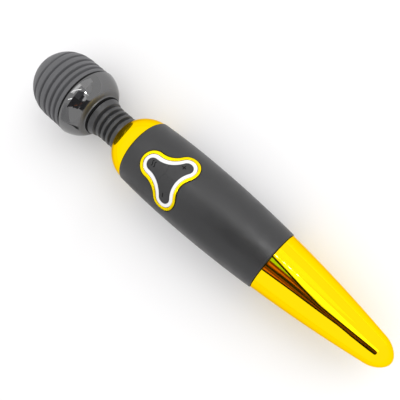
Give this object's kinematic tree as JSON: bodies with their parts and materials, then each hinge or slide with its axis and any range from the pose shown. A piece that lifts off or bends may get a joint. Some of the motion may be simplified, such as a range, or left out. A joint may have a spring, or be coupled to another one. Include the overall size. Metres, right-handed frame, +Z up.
{
  "type": "handheld wand massager",
  "caption": "Cordless wand massager: ribbed silicone head on a flexible neck, tapering handle with a soft sleeve, trefoil key pad and bright metal-look ends.",
  "frame": {"origin": "on the table, 0.5 mm from the middle of the length: centre of the bottom of the bounding box", "axes": "+X along the handle from head to tail, +Z up through the key pad, +Y towards the plus key"},
  "size_m": [0.327, 0.0558, 0.0558],
  "materials": {
    "gold": "mirror-bright gold plating on moulded plastic",
    "silicone": "matte soft-touch silicone, dark grey",
    "head_silicone": "satin silicone, grey-black, moulded in ribs",
    "gloss_black": "high-gloss black plastic",
    "bellows_rubber": "satin black rubber bellows",
    "key_grey": "matte dark grey key caps with engraved marks",
    "light_white": "milky white translucent light ring",
    "inner_shell": "unpainted black moulded plastic",
    "seal_black": "black rubber seal",
    "steel": "bright steel",
    "brass": "gold-flashed brass",
    "magnet": "grey ferrite",
    "copper": "enamelled copper winding on a steel stack",
    "board_green": "green solder mask",
    "flex_amber": "amber flexible board",
    "chip_black": "black component moulding",
    "cell_blue": "blue shrink wrap over a lithium cell",
    "lead_red": "red and black insulated leads",
    "led_white": "small white light-emitting diode"
  },
  "bodies": {
    "handle": {"bellows_lower": "bellows_rubber", "neck_spring_lower": "steel", "motor_cable_lower": "lead_red", "neck_flange_handle": "inner_shell", "front_collar": "gold", "seal_front": "seal_black", "housing_upper": "inner_shell", "housing_lower": "inner_shell", "housing_screw_1": "steel", "housing_screw_2": "steel", "grip_sleeve": "silicone", "pad_bezel": "gold", "light_ring": "light_white", "flex_board": "flex_amber", "keypad_ribbon": "flex_amber", "switch_mode": "chip_black", "switch_plus": "chip_black", "switch_minus": "chip_black", "led_front": "led_white", "led_plus": "led_white", "led_minus": "led_white", "battery": "cell_blue", "battery_cradle": "inner_shell", "battery_cable": "lead_red", "main_board": "board_green", "control_chip": "chip_black", "seal_rear": "seal_black", "tail_cap": "gold", "charge_port": "seal_black", "charge_contact_front": "brass", "charge_contact_rear": "brass", "charge_cable": "lead_red"},
    "neck_mid": {"neck_mid_ring": "inner_shell"},
    "head": {"head_cap": "head_silicone", "head_core": "inner_shell", "head_base": "gloss_black", "motor_can": "steel", "motor_end_bell": "inner_shell", "motor_magnet_upper": "magnet", "motor_magnet_lower": "magnet", "motor_bushing_front": "brass", "motor_bushing_rear": "brass", "motor_damper": "seal_black", "motor_cradle": "inner_shell", "cradle_screw_1": "steel", "cradle_screw_2": "steel", "cradle_screw_3": "steel", "bellows_upper": "bellows_rubber", "neck_spring_upper": "steel", "motor_cable_upper": "lead_red", "neck_flange_head": "inner_shell"},
    "rotor": {"motor_shaft": "steel", "motor_armature": "copper", "eccentric_weight": "steel"},
    "key_mode": {"key_mode": "key_grey", "switch_plunger_mode": "inner_shell"},
    "key_plus": {"key_plus": "key_grey", "switch_plunger_plus": "inner_shell"},
    "key_minus": {"key_minus": "key_grey", "switch_plunger_minus": "inner_shell"}
  },
  "joints": [
    {"name": "neck_pitch", "type": "hinge", "parent": "handle", "child": "neck_mid", "pos_m": [-0.083, 0, 0.0279], "axis": [0, 1, 0], "range_deg": [-20, 20], "stiffness_Nm_per_rad": 1.5, "deforming": ["bellows_lower", "neck_spring_lower", "motor_cable_lower"]},
    {"name": "neck_yaw", "type": "hinge", "parent": "neck_mid", "child": "head", "pos_m": [-0.094, 0, 0.0279], "axis": [0, 0, 1], "range_deg": [-20, 20], "stiffness_Nm_per_rad": 1.5, "deforming": ["bellows_upper", "neck_spring_upper", "motor_cable_upper"]},
    {"name": "motor_spin", "type": "hinge", "parent": "head", "child": "rotor", "pos_m": [-0.124, 0, 0.0279], "axis": [1, 0, 0], "continuous": true},
    {"name": "key_mode_press", "type": "slide", "parent": "handle", "child": "key_mode", "axis": [0, 0, -1], "range_m": [0, 0.00025], "stiffness_N_per_m": 3000},
    {"name": "key_plus_press", "type": "slide", "parent": "handle", "child": "key_plus", "axis": [0, 0, -1], "range_m": [0, 0.00025], "stiffness_N_per_m": 3000},
    {"name": "key_minus_press", "type": "slide", "parent": "handle", "child": "key_minus", "axis": [0, 0, -1], "range_m": [0, 0.00025], "stiffness_N_per_m": 3000}
  ]
}
